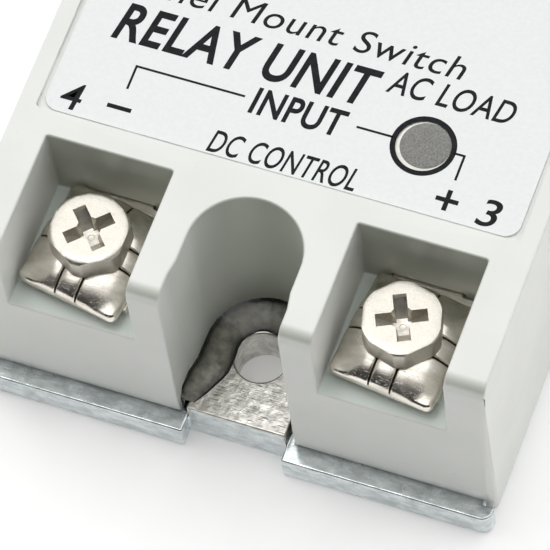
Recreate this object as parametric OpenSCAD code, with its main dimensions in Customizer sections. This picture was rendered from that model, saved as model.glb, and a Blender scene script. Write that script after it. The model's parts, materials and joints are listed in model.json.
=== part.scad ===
// Solid state relay, panel form: a moulded housing on a metal base plate, with
// four clamp screws in open wells and a U-shaped notch over each mounting hole.
// Millimetres. The origin is under the middle of the base plate, with +Z up.
// The input end is at -Y and the output end is at +Y.

/* [Overall] */
// Width of the relay
body_w = 45; // [44:0.5:48]
// Length of the base plate
plate_len = 63; // [62:0.5:66]
// Height from the mounting surface to the housing's top
body_h = 22.7; // [22.2:0.1:25]
// Distance between the two mounting holes
hole_pitch = 47.5; // [47:0.1:48]
// Diameter of a mounting hole
hole_d = 4.5; // [4.2:0.1:4.8]

/* [Base plate] */
// Thickness of the flange that the housing stands on
flange_t = 2.7; // [2.4:0.1:2.8]
// Height of the raised middle, seen as the tab in each notch
core_z = 4.2; // [3.6:0.1:4.6]
// How far the flange reaches past the housing at each end
flange_reach = 1.5; // [1:0.1:2]
// Width of the tab between the two halves of a flange
tab_w = 8.7; // [8:0.1:9]
// Radius of the plate's corners
plate_corner_r = 1; // [0.5:0.1:2]

/* [Housing] */
// How much narrower each side is at the top than at the bottom
draft = 0.25; // [0.1:0.05:0.4]
// Height of the lower edge of the side skirts
skirt_z = 1.2; // [0.8:0.1:2]
// Radius of the edges where the posts' tops turn down to the end faces
post_round_r = 1.3; // [0.5:0.1:2]
// Radius of the notch's round end
notch_r = 4.8; // [4.5:0.1:5]
// How far the notch's round end is set back from the hole
notch_back = 0.25; // [0:0.05:0.4]
// Width of the notch's open mouth
mouth_w = 10.1; // [9.8:0.1:10.4]
// Height of the well's floor
floor_z = 14.3; // [13.8:0.1:14.8]
// Width of a well
well_w = 11; // [10.8:0.1:11.4]
// Distance from the middle of the relay to a well's back wall
well_back_y = 18.35; // [18:0.05:18.6]
// Depth of the recess that holds the label
recess_d = 0.4; // [0.2:0.1:0.6]

/* [Terminals] */
// Distance from the middle to a screw along X
screw_x = 13.35; // [13.2:0.05:13.5]
// Distance from the middle to a screw along Y
screw_y = 23.95; // [23.9:0.05:24]
// Height of the top of a screw's head when it is tight
head_top_z = 19.9; // [19.6:0.1:20.2]
// Width of the hexagon across its flats
head_af = 6.3; // [6:0.1:6.6]
// Radius that the hexagon's corners are turned down to
head_r = 3.4; // [3.2:0.05:3.5]
// Radius of the shank, which stands in for an M3.5 thread
shank_r = 1.7; // [1.66:0.01:1.72]
// Width of a clamp washer
washer_w = 9.1; // [8.8:0.1:9.2]
// Depth of a clamp washer
washer_l = 9.6; // [9:0.1:9.6]
// Turn of the clamp washers on the left, in degrees
washer_turn_left = 9.5; // [0:0.5:10]
// Turn of the clamp washers on the right, in degrees
washer_turn_right = 6.5; // [0:0.5:10]

/* [Label] */
// Width of the label
label_w = 40.6; // [38:0.1:41]
// Length of the label
label_l = 31.8; // [30:0.1:32]
// Radius of the label's corners
label_r = 1.3; // [1:0.1:4]
// Distance from the middle to the indicator along X
lamp_x = 10.5; // [9:0.1:12]
// Distance from the middle to the indicator along Y
lamp_y = 10.1; // [9:0.1:11]
// Radius of the indicator window
lamp_r = 2.3; // [2:0.1:2.6]

/* [Hidden] */
$fn = 64;
E = 0.01;                                // an overshoot that keeps cuts clean
half_w = body_w / 2;
half_l = plate_len / 2;
end_y = half_l - flange_reach;           // the housing's end face at its foot
hole_y = hole_pitch / 2;
skirt_t = 1;                             // skirt over the plate's side edge
wall = 2.3;                              // housing's side wall
end_wall = 2.4;                          // housing's end wall
roof = 2;                                // housing's top wall under the recess
deck = 1.5;                              // floor of a well
back_wall = 1.75;                        // back wall of a well
notch_wall = 1.6;                        // wall around a notch
gap = 0.15;                              // assembly gap between housing and plate
cav_x = half_w - wall;
cav_y = end_y - end_wall;
mid_y = well_back_y - back_wall;
deck_z = floor_z - deck;
recess_r = 0.4;                          // corners of the recess for the label
roof_z = body_h - recess_d - roof;
neck_y = end_y - 4.2;                    // where the notch starts to widen to its mouth
flare = 1.4;                             // length over which it widens
band_z = 4.6;                            // below this the end faces lean inwards
band_d = 0.25;
pocket_r = 3;                            // blind pocket under a terminal's boss
pocket_z = 8.6;
pocket_wall = 1.1;

// terminals
strip_t = 0.9;
strip_w = 8.4;
strip_front = 28;
tongue_w = 6;
tongue_y = 14.75;                        // inner end of a terminal's tongue
boss_r = 2.9;
boss_t = 1.2;
bore_r = 1.75;
washer_z = floor_z + strip_t;
washer_t = 1.1;
washer_crown = 1.2;                      // height of the washer's domed middle
crown_r = 4.4;                           // radius of the dome's foot
groove = 0.2;                            // width and depth of a washer's grooves
groove_x = 0.95;                         // distance of a groove from the middle
head_z = washer_z + washer_t + washer_crown;
head_chamfer = 0.15;
shank_len = 8;
cross_w = 1.15;
cross_l = 4.25;
cross_d = 1.7;
hex_turn = [12, 40, 45, 30];             // how each screw stands when it is tight
cross_turn = [70, 15, 24.5, 43.5];

// inside
board_z = 12.2;
board_t = 1.6;
board_top = board_z + board_t;
board_w = 39;
board_l = 32.4;
pad_t = 0.63;                             // ceramic pad under the triac
pad_w = 24;
pad_l = 22;
triac_w = 15.6;
triac_l = 20;
triac_t = 4.6;
triac_y = -1;
triac_z = core_z + pad_t;
lead_pitch = 5.45;
lead_y = 12.5;
lead_w = 1.3;
lead_t = 0.6;
resin_z = 6.8;
leg_w = 2.4;
leg_y = 15.2;
strap_t = floor_z - board_top;
pin_pitch = 2.54;
resistor_r = 1.2;
resistor_l = 6.3;
resistor_colour = [0.75, 0.65, 0.45];

// ---------------------------------------------------------------- helpers

// The sides of terminals 1 to 4, which run clockwise from the left output.
function side_x(n) = (n == 1 || n == 4) ? -1 : 1;
function side_y(n) = n <= 2 ? 1 : -1;

// A rectangle with round corners, made of squares and circles.
module round_rect(w, l, r) {
    square([w - 2 * r, l], center = true);
    square([w, l - 2 * r], center = true);
    for (sx = [-1, 1], sy = [-1, 1])
        translate([sx * (w / 2 - r), sy * (l / 2 - r)]) circle(r);
}

// A box centred in x and y that stands on z.
module slab(w, l, h, z = 0, x = 0, y = 0) {
    translate([x - w / 2, y - l / 2, z]) cube([w, l, h]);
}

// Puts children at both ends; the output end is the input end mirrored.
module both_ends() {
    children();
    mirror([0, 1, 0]) children();
}

// Puts children at terminal n, with the open end of the well towards -Y.
module at_terminal(n) {
    mirror([0, side_y(n) > 0 ? 1 : 0, 0])
        translate([side_x(n) * screw_x, -screw_y, 0]) children();
}

// The notch at the input end, grown by g: a round end, a neck and a flared mouth.
module notch_2d(g = 0, length = end_y + 1) {
    neck = notch_r + g;
    mouth = mouth_w / 2 + g;
    mouth_y = neck_y + flare;
    translate([0, notch_back - hole_y]) circle(neck);
    polygon([[-neck, notch_back - hole_y], [-neck, -neck_y], [-mouth, -mouth_y],
             [-mouth, -length], [mouth, -length], [mouth, -mouth_y],
             [neck, -neck_y], [neck, notch_back - hole_y]]);
}

// ---------------------------------------------------------------- base plate

// The raised middle fits inside the housing's walls and shows in the notches.
module core_2d() {
    difference() {
        square([2 * (cav_x - gap), 2 * (cav_y - gap)], center = true);
        both_ends() notch_2d(notch_wall + gap);
    }
    both_ends() {
        translate([0, notch_back - hole_y]) circle(notch_r - gap);
        translate([-tab_w / 2, -end_y]) square([tab_w, end_y - hole_y]);
    }
}

module base_plate() {
    color([0.78, 0.82, 0.86])
    difference() {
        union() {
            linear_extrude(flange_t) difference() {
                round_rect(body_w, plate_len, plate_corner_r);
                // the side skirts cover these edges
                for (s = [-1, 1])
                    translate([s * half_w, 0])
                        square([2 * (skirt_t + gap), 2 * (end_y + gap)], center = true);
                // each flange is cut away in front of the tab
                both_ends() translate([-tab_w / 2, -half_l - E])
                    square([tab_w, flange_reach + E]);
            }
            linear_extrude(core_z) core_2d();
        }
        both_ends() translate([0, -hole_y, -E]) cylinder(d = hole_d, h = core_z + 2 * E);
    }
}

// ---------------------------------------------------------------- housing

// The profile at one end, from the roof to the foot: a round top edge, a drafted
// face and a band that leans inwards.
function end_profile() = let (
    top = end_y - draft,
    steps = 6
) [
    for (i = [0 : steps]) let (a = 90 - 90 * i / steps)
        [top - post_round_r + post_round_r * cos(a),
         body_h - post_round_r + post_round_r * sin(a)],
    [end_y, band_z],
    [end_y - band_d, flange_t],
    [end_y - band_d, 0]
];

// The same profile at both ends, as one outline.
function side_outline() = let (
    half = end_profile(),
    last = len(half) - 1
) concat(half, [for (i = [last : -1 : 0]) [-half[i][0], half[i][1]]]);

module outer_shell() {
    intersection() {
        linear_extrude(body_h) round_rect(body_w, 2 * end_y, plate_corner_r);
        rotate([90, 0, 90]) linear_extrude(body_w + 2, center = true)
            polygon(side_outline());
        rotate([90, 0, 0]) linear_extrude(2 * end_y + 2, center = true)
            polygon([[-half_w, 0], [half_w, 0], [half_w - draft, body_h],
                     [draft - half_w, body_h]]);
    }
}

// The hollow: low under the wells, and high between them.
module hollow() {
    difference() {
        union() {
            slab(2 * cav_x, 2 * cav_y, deck_z + 1, -1);
            slab(2 * cav_x, 2 * mid_y, roof_z + 1, -1);
        }
        both_ends() translate([0, 0, -2]) linear_extrude(body_h + 4)
            notch_2d(notch_wall);
        for (n = [1 : 4]) at_terminal(n)
            translate([0, 0, pocket_z - pocket_wall])
                cylinder(r = pocket_r + pocket_wall, h = deck_z);
    }
}

module well_cut() {
    // the well, open at the top and at the end
    translate([-well_w / 2, screw_y - end_y - 1, floor_z])
        cube([well_w, end_y + 1 - well_back_y, body_h]);
    // the slot for the terminal's tongue
    translate([-tongue_w / 2 - 0.1, screw_y - well_back_y - E, floor_z])
        cube([tongue_w + 0.2, back_wall + 2 * E, strip_t + 0.1]);
    // the blind pocket for the boss and the shank
    translate([0, 0, pocket_z]) cylinder(r = pocket_r, h = body_h);
}

module housing() {
    color([0.88, 0.89, 0.86])
    difference() {
        outer_shell();
        hollow();
        // the end walls stand on the flange, and the skirts pass it
        slab(2 * (half_w - skirt_t), 2 * end_y + 2, flange_t + 1, -1);
        slab(body_w + 2, 2 * end_y + 2, skirt_z + 1, -1);
        both_ends() translate([0, 0, -1]) linear_extrude(body_h + 2) notch_2d();
        for (n = [1 : 4]) at_terminal(n) well_cut();
        translate([0, 0, body_h - recess_d])
            linear_extrude(recess_d + 1) round_rect(label_w + 0.8, label_l + 0.4, recess_r);
        translate([lamp_x, -lamp_y, roof_z - E])
            cylinder(r = lamp_r + 0.05, h = roof + 1);
    }
}

// ---------------------------------------------------------------- top pieces

module label() {
    color([0.93, 0.94, 0.97])
    translate([0, 0, body_h - recess_d]) linear_extrude(recess_d / 2) difference() {
        round_rect(label_w, label_l, label_r);
        translate([lamp_x, -lamp_y]) circle(lamp_r + 0.05);
    }
}

module indicator_window() {
    color([0.5, 0.51, 0.53]) translate([lamp_x, -lamp_y, 0]) {
        translate([0, 0, roof_z - 0.6]) cylinder(r = lamp_r + 0.7, h = 0.6);
        translate([0, 0, roof_z]) cylinder(r = lamp_r, h = body_h - recess_d / 2 - roof_z);
    }
}

// ---------------------------------------------------------------- inside

module led() {
    lens_r = 1.5;
    top = roof_z - 0.9;
    color([0.8, 0.1, 0.1]) translate([lamp_x, -lamp_y, 0]) {
        translate([0, 0, board_top + 0.8]) cylinder(r = lens_r + 0.4, h = 0.8);
        translate([0, 0, board_top + 1.6])
            cylinder(r = lens_r, h = top - lens_r - board_top - 1.6);
        translate([0, 0, top - lens_r]) intersection() {
            sphere(lens_r);
            slab(4, 4, 2);
        }
        for (s = [-1, 1]) slab(0.5, 0.5, 0.8, board_top, s * 1.27);
    }
}

module circuit_board() {
    color([0.1, 0.38, 0.2]) difference() {
        slab(board_w, board_l, board_t, board_z);
        for (s = [-1, 1])
            slab(leg_w + 0.3, strip_t + 0.3, 3, board_z - 1, s * screw_x, -leg_y);
        for (k = [-1 : 1])
            slab(lead_w + 0.3, lead_t + 0.3, 3, board_z - 1, k * lead_pitch, lead_y);
    }
}

module ceramic_insulator() {
    color([0.95, 0.95, 0.93]) slab(pad_w, pad_l, pad_t, core_z, 0, triac_y);
}

module triac() {
    color([0.12, 0.12, 0.13])
    slab(triac_w, triac_l, triac_t, triac_z, 0, triac_y);
}

module triac_leads() {
    z = triac_z + 2.4;
    y = triac_y + triac_l / 2;
    color([0.8, 0.8, 0.8]) for (k = [-1 : 1]) {
        translate([k * lead_pitch - lead_w / 2, y, z])
            cube([lead_w, lead_y + lead_t / 2 - y, lead_t]);
        slab(lead_w, lead_t, board_top + 0.8 - z, z, k * lead_pitch, lead_y);
    }
}

// A copper strap from a terminal's tongue to one of the outer triac leads.
module output_strap(n) {
    s = side_x(n);
    color([0.72, 0.45, 0.3]) difference() {
        union() {
            slab(5, 3.4, strap_t, board_top, s * screw_x, 14.4);
            slab(screw_x - lead_pitch + 2.4, 2.4, strap_t, board_top,
                 s * (screw_x + lead_pitch) / 2, lead_y);
        }
        slab(lead_w + 0.3, lead_t + 0.3, 3, board_z, s * lead_pitch, lead_y);
    }
}

// A six-pin package; its pins stand along both long sides.
module optocoupler() {
    x = -1;
    body_l = 6.4;
    pin_t = 0.4;
    color([0.93, 0.93, 0.9]) slab(8.6, body_l, 3.4, board_top + 0.4, x, 0);
    color([0.8, 0.8, 0.8]) for (k = [-1 : 1], s = [-1, 1])
        slab(0.9, pin_t, 1.6, board_top, x + k * pin_pitch, s * (body_l + pin_t) / 2);
}

// A round moulded body with one flat side, on three legs.
module limit_transistor() {
    leg_h = 1.3;
    flat_y = 1.6;
    body_r = 2.3;
    translate([8.5, -3, 0]) {
        color([0.13, 0.13, 0.14]) intersection() {
            translate([0, 0, board_top + leg_h]) cylinder(r = body_r, h = 4.2);
            translate([-5, -flat_y, 0]) cube([10, 10, body_h]);
        }
        color([0.8, 0.8, 0.8]) for (k = [-1 : 1])
            slab(0.45, 0.45, leg_h, board_top, k * pin_pitch / 2);
    }
}

// A round part lying along X between two square-cornered wires.
module axial(r, length, x, y, c, wire_r = 0.3) {
    z = board_top + r + 0.1;
    wire_l = 1.6;
    reach = length / 2 + wire_l;
    translate([x, y, 0]) {
        color(c) translate([-length / 2, 0, z]) rotate([0, 90, 0]) cylinder(r = r, h = length);
        color([0.8, 0.8, 0.8]) for (s = [-1, 1]) {
            slab(wire_l + wire_r, 2 * wire_r, 2 * wire_r, z - wire_r,
                 s * (reach - (wire_l - wire_r) / 2));
            slab(2 * wire_r, 2 * wire_r, z - board_top, board_top, s * reach);
        }
    }
}

module input_diode() {
    axial(1.35, 5.2, 1.5, -12.5, [0.15, 0.15, 0.16], 0.4);
}

module input_resistors() {
    for (y = [-10.5, -7]) axial(resistor_r, resistor_l, -11, y, resistor_colour);
}

module gate_resistor() {
    axial(resistor_r, resistor_l, -12.5, 1, resistor_colour);
}

module snubber_resistor() {
    axial(1.6, 9, -11, 6.5, [0.4, 0.5, 0.6], 0.35);
}

module snubber_capacitor() {
    color([0.55, 0.1, 0.1]) slab(13, 6, 5.9, board_top, 10.3, 5.5);
}

module potting_resin() {
    color([0.16, 0.15, 0.15]) difference() {
        translate([0, 0, core_z]) linear_extrude(resin_z - core_z) difference() {
            square([2 * cav_x, 2 * cav_y], center = true);
            both_ends() notch_2d(notch_wall + gap);
            translate([0, triac_y]) square([triac_w, triac_l], center = true);
        }
        slab(pad_w, pad_l, pad_t + E, core_z - E, 0, triac_y);
    }
}

// The fillet of resin that shows in a notch, between its wall and the plate.
module sealant_bead() {
    color([0.2, 0.19, 0.18])
    translate([0, notch_back - hole_y, 0]) rotate_extrude(angle = 180)
        polygon([[hole_d / 2 + 0.6, core_z], [notch_r - 0.08, core_z],
                 [notch_r - 0.08, core_z + 2], [notch_r - 0.5, core_z + 1.1],
                 [notch_r - 1.1, core_z + 0.45]]);
}

// ---------------------------------------------------------------- terminals

// A plated strip on the well's floor, with a bored boss under it. Its tongue
// goes through the back wall; an input terminal has a leg down to the board.
module terminal(n) {
    inner = screw_y - tongue_y;
    color([0.8, 0.77, 0.7]) at_terminal(n) difference() {
        union() {
            translate([-strip_w / 2, screw_y - strip_front, floor_z])
                cube([strip_w, strip_front - well_back_y - 0.2, strip_t]);
            translate([-tongue_w / 2, 0, floor_z]) cube([tongue_w, inner, strip_t]);
            translate([0, 0, floor_z - boss_t]) cylinder(r = boss_r, h = boss_t);
            if (n > 2)
                slab(leg_w, strip_t, floor_z - board_z + 0.6, board_z - 0.6,
                     0, screw_y - leg_y);
        }
        translate([0, 0, floor_z - boss_t - E])
            cylinder(r = bore_r, h = boss_t + strip_t + 2 * E);
    }
}

// A square washer with a domed middle and two pairs of shallow grooves.
module clamp_washer(n) {
    turn = side_x(n) < 0 ? washer_turn_left : washer_turn_right;
    top = washer_z + washer_t;
    color([0.8, 0.77, 0.7]) at_terminal(n) rotate([0, 0, -turn])
    difference() {
        union() {
            translate([0, 0, washer_z]) linear_extrude(washer_t)
                round_rect(washer_w, washer_l, 0.6);
            translate([0, 0, top])
                cylinder(r1 = crown_r, r2 = head_r, h = washer_crown);
        }
        translate([0, 0, washer_z - E])
            cylinder(r = bore_r + 0.05, h = washer_t + washer_crown + 2 * E);
        for (s = [-1, 1], k = [-1, 1]) {
            slab(groove, 4, washer_crown, top - groove, s * groove_x, k * (crown_r + 2));
            slab(4, groove, washer_crown, top - groove, k * (crown_r + 2), s * groove_x);
        }
    }
}

// A hexagon head with turned-down corners and a cross recess, on a plain shank.
module terminal_screw(n) {
    head_h = head_top_z - head_z;
    color([0.84, 0.81, 0.75]) at_terminal(n) difference() {
        union() {
            intersection() {
                translate([0, 0, head_z]) rotate([0, 0, hex_turn[n - 1]])
                    cylinder(r = head_af / 2 / cos(30), h = head_h, $fn = 6);
                translate([0, 0, head_z]) cylinder(r = head_r, h = head_h);
                translate([0, 0, head_z])
                    cylinder(r1 = head_r - head_chamfer + head_h,
                             r2 = head_r - head_chamfer, h = head_h);
            }
            translate([0, 0, head_z - shank_len]) cylinder(r = shank_r, h = shank_len + E);
        }
        for (a = [0, 90]) rotate([0, 0, cross_turn[n - 1] + a])
            slab(cross_l, cross_w, cross_d + 1, head_top_z - cross_d);
    }
}

// ---------------------------------------------------------------- output

base_plate();
housing();
label();
indicator_window();
led();
circuit_board();
ceramic_insulator();
triac();
triac_leads();
output_strap(1);  // output_strap_1
output_strap(2);  // output_strap_2
optocoupler();
limit_transistor();
input_diode();
input_resistors();
gate_resistor();
snubber_resistor();
snubber_capacitor();
potting_resin();
sealant_bead();  // sealant_bead_input
mirror([0, 1, 0]) sealant_bead();  // sealant_bead_output
for (n = [1 : 4]) {
    terminal(n);
    clamp_washer(n);
    terminal_screw(n);
}
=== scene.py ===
# %% [markdown]
# # A panel solid state relay
# This relay switches mains current with a triac instead of moving contacts. It is
# a moulded housing on a metal base plate. Four clamp screws stand in open wells,
# and a U-shaped notch at each end leaves room for a mounting screw.
# The sizes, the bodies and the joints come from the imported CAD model, which is the
# fixed frame here. This script gives each piece its detail and its finish.

# %% Load the frame
import json
import math

import bmesh
import bpy
from mathutils import Matrix, Vector


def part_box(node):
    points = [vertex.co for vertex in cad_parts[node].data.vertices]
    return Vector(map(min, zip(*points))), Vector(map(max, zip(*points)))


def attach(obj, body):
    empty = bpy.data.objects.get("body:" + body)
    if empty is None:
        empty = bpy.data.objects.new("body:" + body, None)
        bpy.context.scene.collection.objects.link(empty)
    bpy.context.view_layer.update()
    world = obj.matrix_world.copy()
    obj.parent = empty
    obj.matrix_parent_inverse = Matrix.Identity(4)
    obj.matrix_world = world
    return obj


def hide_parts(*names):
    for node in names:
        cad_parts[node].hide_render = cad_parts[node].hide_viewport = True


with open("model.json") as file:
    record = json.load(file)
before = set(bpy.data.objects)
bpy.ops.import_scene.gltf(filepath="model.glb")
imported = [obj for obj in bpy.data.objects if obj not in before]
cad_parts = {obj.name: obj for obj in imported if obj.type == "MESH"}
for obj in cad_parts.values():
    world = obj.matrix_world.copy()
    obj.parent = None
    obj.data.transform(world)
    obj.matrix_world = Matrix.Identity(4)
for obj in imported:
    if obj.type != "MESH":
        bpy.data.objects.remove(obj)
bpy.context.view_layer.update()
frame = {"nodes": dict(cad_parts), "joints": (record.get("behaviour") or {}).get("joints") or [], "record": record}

MM = 0.001

# %% [markdown]
# ## Read the driving sizes from the frame
# A maker measures before cutting. Each CAD node has a box, each joint has a place,
# and each mount has its sizes, so nothing has to be typed in twice. The rest of the
# script works in millimetres, and meshes are scaled to metres when they are done.

# %% Sizes that the pieces share
def corners(node):
    """The lowest and highest corner of a CAD node, in millimetres."""
    low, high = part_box(node)
    return low / MM, high / MM


mounts = {mount["name"]: mount for mount in frame["record"]["mounts"]}
holes = mounts["mounting_holes"]["dims"]
hole_y = holes["spacing_y_mm"] / 2
hole_radius = holes["hole_r_mm"]
screw_places = {
    joint["name"].split("_")[1]: Vector(joint["pos_m"]) / MM
    for joint in frame["joints"]
    if joint["name"].startswith("screw")
}
label_low, label_high = corners("label")
window_low, window_high = corners("indicator_window")
plate_high = corners("base_plate")[1]
housing_high = corners("housing")[1]
lamp_x = (window_low.x + window_high.x) / 2
lamp_y = (window_low.y + window_high.y) / 2
print("hole pitch", 2 * hole_y, "mm")
for number, place in screw_places.items():
    print("screw", number, "stands at", [round(c, 2) for c in place])

# %% [markdown]
# ## Camera
# A long lens far away keeps parallel edges nearly parallel, as in a catalogue
# picture. The camera looks down at the input end from its right, and it is rolled a
# little. Its place is worked out from the three angles and the distance.

# %% Place the camera
camera_azimuth = math.radians(28.85)
camera_elevation = math.radians(62.2)
camera_roll = math.radians(-10)
camera_distance = 0.4053
camera_target = Vector((-0.07, -18.86, 10)) * MM

camera = bpy.data.objects.new("camera", bpy.data.cameras.new("camera"))
camera.data.lens = 323.5
camera.data.sensor_width = 36
camera.data.clip_start = 0.01
toward_camera = Vector((
    math.sin(camera_azimuth) * math.cos(camera_elevation),
    -math.cos(camera_azimuth) * math.cos(camera_elevation),
    math.sin(camera_elevation),
))
level_right = Vector((math.cos(camera_azimuth), math.sin(camera_azimuth), 0))
level_up = toward_camera.cross(level_right)
camera_right = level_right * math.cos(camera_roll) + level_up * math.sin(camera_roll)
camera_up = level_up * math.cos(camera_roll) - level_right * math.sin(camera_roll)
camera_turn = Matrix((camera_right, camera_up, toward_camera)).transposed().to_4x4()
camera_place = Matrix.Translation(camera_target + toward_camera * camera_distance)
camera.matrix_world = camera_place @ camera_turn
bpy.context.scene.collection.objects.link(camera)
bpy.context.scene.camera = camera
print("camera at", [round(c, 4) for c in camera.location])

# %% [markdown]
# ## Helpers for finishes
# Real surfaces are never one flat colour. Each finish here is a Principled shader
# fed by noise in Object coordinates, so the pattern stays with the piece and needs
# no image. The helper keeps each finish short: it makes the noise, the colour ramps
# and the bump, and sizes are given in millimetres because that is how grain and
# scratches are judged at a bench.

# %% A short way to write a material
class Finish:
    """A material, its shader, and short calls for the nodes that finishes need."""

    def __init__(self, name, **constants):
        self.material = bpy.data.materials.new(name)
        self.material.use_nodes = True
        self.nodes = self.material.node_tree.nodes
        self.links = self.material.node_tree.links
        self.shader = self.nodes["Principled BSDF"]
        self.place = self.nodes.new("ShaderNodeTexCoord").outputs["Object"]
        for socket, value in constants.items():
            self.shader.inputs[socket.replace("_", " ")].default_value = value

    def noise(self, lump, stretch=(1, 1, 1), detail=3.0, seed=0.0):
        """Noise with lumps about this many millimetres wide, times the stretch."""
        mapping = self.nodes.new("ShaderNodeMapping")
        mapping.inputs["Location"].default_value = (seed, seed, seed)
        mapping.inputs["Scale"].default_value = [1 / (lump * MM * s) for s in stretch]
        self.links.new(self.place, mapping.inputs["Vector"])
        noise = self.nodes.new("ShaderNodeTexNoise")
        noise.inputs["Scale"].default_value = 1
        noise.inputs["Detail"].default_value = detail
        self.links.new(mapping.outputs["Vector"], noise.inputs["Vector"])
        return noise.outputs["Fac"]

    def ramp(self, value, *stops):
        """Colours along a value. Each stop is a position and a colour or a grey."""
        ramp = self.nodes.new("ShaderNodeValToRGB")
        while len(ramp.color_ramp.elements) < len(stops):
            ramp.color_ramp.elements.new(0.5)
        for element, (position, colour) in zip(ramp.color_ramp.elements, stops):
            grey = isinstance(colour, (int, float))
            element.position = position
            element.color = (colour, colour, colour, 1) if grey else (*colour, 1)
        self.links.new(value, ramp.inputs["Fac"])
        return ramp.outputs["Color"]

    def blend(self, first, second, share, mode="MIX"):
        """Two colours mixed, where the share may be a number or a socket."""
        mix = self.nodes.new("ShaderNodeMix")
        mix.data_type = "RGBA"
        mix.blend_type = mode
        values = ((mix.inputs[0], share), (mix.inputs[6], first), (mix.inputs[7], second))
        for socket, value in values:
            if isinstance(value, bpy.types.NodeSocket):
                self.links.new(value, socket)
            elif isinstance(value, (int, float)):
                socket.default_value = value
            else:
                socket.default_value = (*value, 1)
        return mix.outputs[2]

    def colour(self, socket):
        """Sets the colour of the surface from a socket."""
        self.links.new(socket, self.shader.inputs["Base Color"])

    def rough(self, socket):
        """Sets the roughness of the surface from a socket."""
        self.links.new(socket, self.shader.inputs["Roughness"])

    def bump(self, height, depth):
        """Relief of this depth in millimetres, on top of any relief so far."""
        bump = self.nodes.new("ShaderNodeBump")
        bump.inputs["Distance"].default_value = depth * MM
        self.links.new(height, bump.inputs["Height"])
        before = self.shader.inputs["Normal"].links
        if before:
            self.links.new(before[0].from_socket, bump.inputs["Normal"])
        self.links.new(bump.outputs["Normal"], self.shader.inputs["Normal"])


print("finish helper ready")

# %% [markdown]
# ## Light, floor and world
# The relay stands on a glowing white table inside a light tent of white cloth. The
# tent is bright above and behind and open in front. So flat metal mirrors the bright
# cloth, walls that face the front fall into shade, and the table lights the front
# faces from below. The world draws the tent as one smooth step in brightness, and
# two small lamps add glints to the metal and some light to its right side.

# %% Set the stage
def soft_light(name, place, size, power, aim=(0, -0.018, 0.01)):
    """A square area light that points at the relay."""
    light = bpy.data.lights.new(name, "AREA")
    light.size = size
    light.energy = power
    holder = bpy.data.objects.new(name, light)
    direction = Vector(aim) - Vector(place)
    holder.rotation_euler = direction.to_track_quat("-Z", "Y").to_euler()
    holder.location = place
    bpy.context.scene.collection.objects.link(holder)


soft_light("glint_lamp", place=(-0.13, 0.05, 0.60), size=0.12, power=0.30)
soft_light("side_lamp", place=(0.55, 0.04, 0.30), size=0.25, power=0.15)


def light_tent(towards, open_at, closed_at, dark, bright):
    """A world whose brightness steps up from dark to bright towards one direction."""
    world = bpy.data.worlds.new("light_tent")
    world.use_nodes = True
    nodes, links = world.node_tree.nodes, world.node_tree.links
    direction = nodes.new("ShaderNodeTexCoord").outputs["Generated"]
    along = nodes.new("ShaderNodeVectorMath")
    along.operation = "DOT_PRODUCT"
    along.inputs[1].default_value = Vector(towards).normalized()
    links.new(direction, along.inputs[0])
    step = nodes.new("ShaderNodeMapRange")
    step.interpolation_type = "SMOOTHSTEP"
    step.inputs["From Min"].default_value = open_at
    step.inputs["From Max"].default_value = closed_at
    step.inputs["To Min"].default_value = dark
    step.inputs["To Max"].default_value = bright
    links.new(along.outputs["Value"], step.inputs["Value"])
    background = nodes["Background"]
    background.inputs["Color"].default_value = (1, 0.995, 0.985, 1)
    links.new(step.outputs["Result"], background.inputs["Strength"])
    bpy.context.scene.world = world


light_tent(towards=(-0.1, 0.55, 0.83), open_at=0.32, closed_at=0.60, dark=0.04, bright=1.51)
bpy.context.scene.view_settings.view_transform = "Standard"

floor_size = 6
floor_mesh = bpy.data.meshes.new("floor")
floor_corners = [(-1, -1, 0), (1, -1, 0), (1, 1, 0), (-1, 1, 0)]
floor_mesh.from_pydata([Vector(c) * floor_size / 2 for c in floor_corners], [], [(0, 1, 2, 3)])
floor = bpy.data.objects.new("floor", floor_mesh)
bpy.context.scene.collection.objects.link(floor)
paper = Finish("pale_paper", Roughness=0.9, Emission_Strength=0.17)
paper.shader.inputs["Emission Color"].default_value = (1, 1, 1, 1)
paper.colour(paper.ramp(paper.noise(4), (0.3, (0.93, 0.93, 0.93)), (0.7, (0.96, 0.96, 0.96))))
floor_mesh.materials.append(paper.material)

# %% [markdown]
# ## Finishes
# The housing is a pale warm grey plastic with a fine satin skin. The moulding tool
# leaves a faint unevenness a few millimetres wide, and handling leaves specks.
# The plate is zinc plated: cold and bluish, with streaks along its rolled edges.
# Washers and screws are nickel plated, which looks warmer.

# %% Housing plastic
def moulded_plastic(name, light_tone, dark_tone, gloss, tint=None):
    """Moulded plastic: a slight drift of colour, rare specks and a satin skin.

    A tint is the name of a colour that the mesh carries, here painted shade; its alpha keeps the skin satin.
    """
    finish = Finish(name, IOR=1.5)
    drift = finish.ramp(finish.noise(7, detail=2), (0.35, dark_tone), (0.65, light_tone))
    specks = finish.ramp(finish.noise(0.22, detail=1), (0.80, 0), (0.84, 1))
    colour = finish.blend(drift, [c * 0.45 for c in dark_tone], specks)
    roughness = finish.ramp(finish.noise(2.5), (0.3, gloss), (0.7, gloss + 0.1))
    if tint:
        # The tint multiplies the colour: painted shade where the mesh carries it.
        shade_colour = finish.nodes.new("ShaderNodeAttribute")
        shade_colour.attribute_name = tint
        colour = finish.blend(colour, shade_colour.outputs["Color"], 1.0, "MULTIPLY")
        roughness = finish.blend((0.30, 0.30, 0.30), roughness, shade_colour.outputs["Alpha"])
    finish.colour(colour)
    finish.rough(roughness)
    finish.bump(finish.noise(5, detail=1), 0.05)
    finish.bump(finish.noise(0.12, detail=2), 0.004)
    return finish.material


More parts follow.
